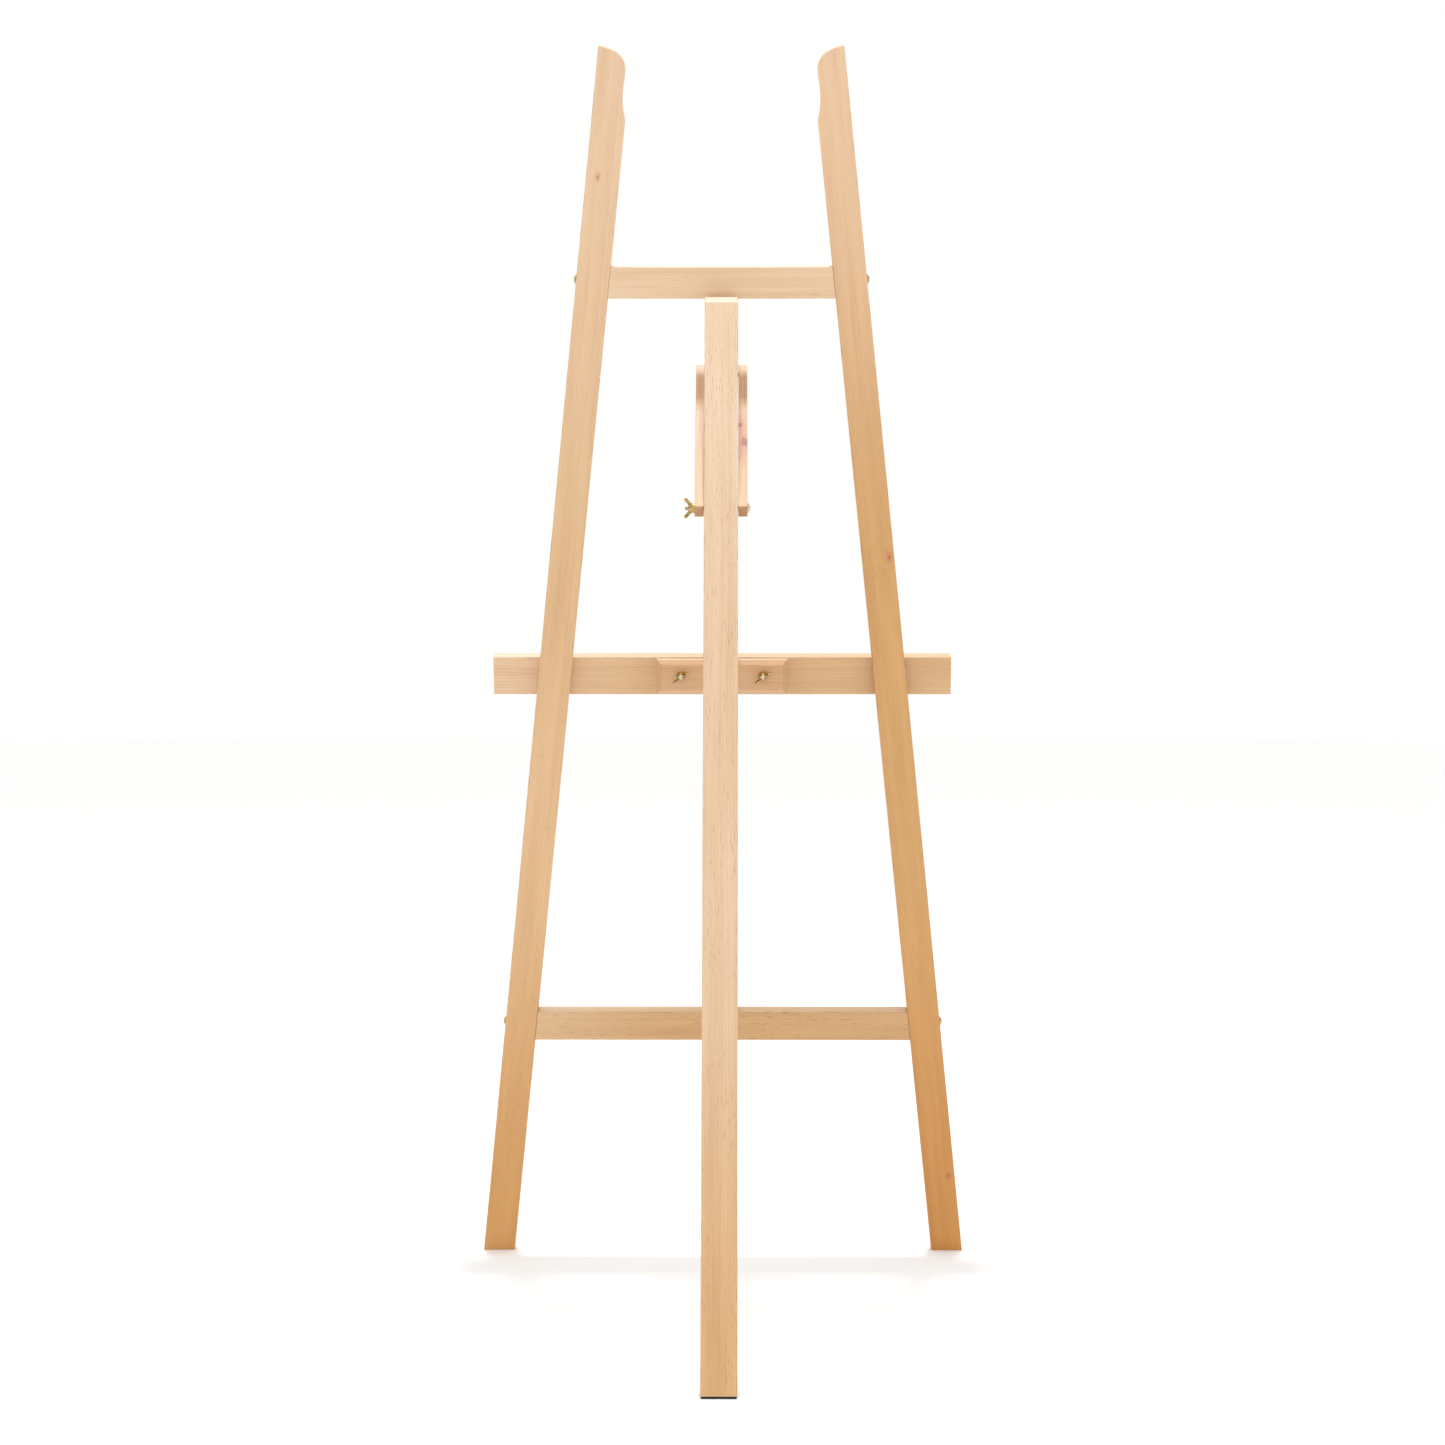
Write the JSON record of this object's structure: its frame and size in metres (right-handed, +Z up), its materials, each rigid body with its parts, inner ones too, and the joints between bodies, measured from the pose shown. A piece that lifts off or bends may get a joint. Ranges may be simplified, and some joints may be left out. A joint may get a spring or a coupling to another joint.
{
  "type": "artist easel",
  "caption": "Wooden A-frame studio easel with lyre tops, a sliding canvas tray held by a clamp block, and a rear leg that folds on a hinge and a slotted brace.",
  "frame": {"origin": "on the floor, at the middle of the box round the standing easel", "axes": "+Z up; -Y is the front, where the canvas stands; +Y is the rear, where the rear leg stands; +X is the left side as seen from behind"},
  "size_m": [0.7044, 0.8232, 1.7004],
  "materials": {
    "beech": "pale beech with fine straight grain and short dark flecks, satin oil",
    "dowel_beech": "plain fluted beech dowel, unfinished",
    "brass_plate": "bright brass plate, lightly worn",
    "zinc_steel": "bright zinc-plated steel",
    "black_rubber": "matte black rubber"
  },
  "bodies": {
    "frame": {"front_leg_left": "beech", "front_leg_right": "beech", "top_rail": "beech", "lower_rail": "beech", "mast": "beech", "mast_dowels": "dowel_beech", "rail_bolts": "brass_plate", "barrel_nuts": "zinc_steel", "hinge_leaf_mast": "brass_plate", "hinge_screws_mast": "brass_plate", "hinge_pin": "zinc_steel", "brace_pivot_pin": "zinc_steel"},
    "rear_leg": {"rear_leg": "beech", "rear_foot_pad": "black_rubber", "hinge_leaf_leg": "brass_plate", "hinge_screws_leg": "brass_plate", "brace_bolt": "brass_plate", "brace_washer": "brass_plate"},
    "brace": {"brace_arm_left": "beech", "brace_arm_right": "beech"},
    "tray": {"tray_back_board": "beech", "tray_ledge": "beech", "tray_lip": "beech", "tray_dowels": "dowel_beech", "lip_pins": "brass_plate", "clamp_block": "beech", "clamp_bolts": "brass_plate", "clamp_washers": "brass_plate"},
    "brace_wing_nut": {"brace_wing_nut": "brass_plate"},
    "clamp_wing_nut_left": {"clamp_wing_nut_left": "brass_plate"},
    "clamp_wing_nut_right": {"clamp_wing_nut_right": "brass_plate"}
  },
  "joints": [
    {"name": "rear_leg_fold", "type": "hinge", "parent": "frame", "child": "rear_leg", "pos_m": [0, -0.1118, 1.36145], "axis": [-1, 0, 0], "range_deg": [0, 29.2]},
    {"name": "brace_fold", "type": "hinge", "parent": "frame", "child": "brace", "pos_m": [0, -0.14616, 1.26705], "axis": [-1, 0, 0], "range_deg": [0, 39.3]},
    {"name": "tray_slide", "type": "slide", "parent": "frame", "child": "tray", "axis": [0, 0.1959, 0.9806], "range_m": [-0.44, 0.12]},
    {"name": "brace_wing_nut_turn", "type": "hinge", "parent": "rear_leg", "child": "brace_wing_nut", "pos_m": [0.042, 0.00663, 1.08051], "axis": [1, 0, 0], "continuous": true},
    {"name": "clamp_wing_nut_left_turn", "type": "hinge", "parent": "tray", "child": "clamp_wing_nut_left", "pos_m": [0.05725, -0.20339, 0.85151], "axis": [0, 0.9806, -0.1959], "continuous": true},
    {"name": "clamp_wing_nut_right_turn", "type": "hinge", "parent": "tray", "child": "clamp_wing_nut_right", "pos_m": [-0.05725, -0.20339, 0.85151], "axis": [0, 0.9806, -0.1959], "continuous": true}
  ],
  "couplings": [
    {"joint": "brace_fold", "follows": "rear_leg_fold", "ratio": 1.341}
  ]
}
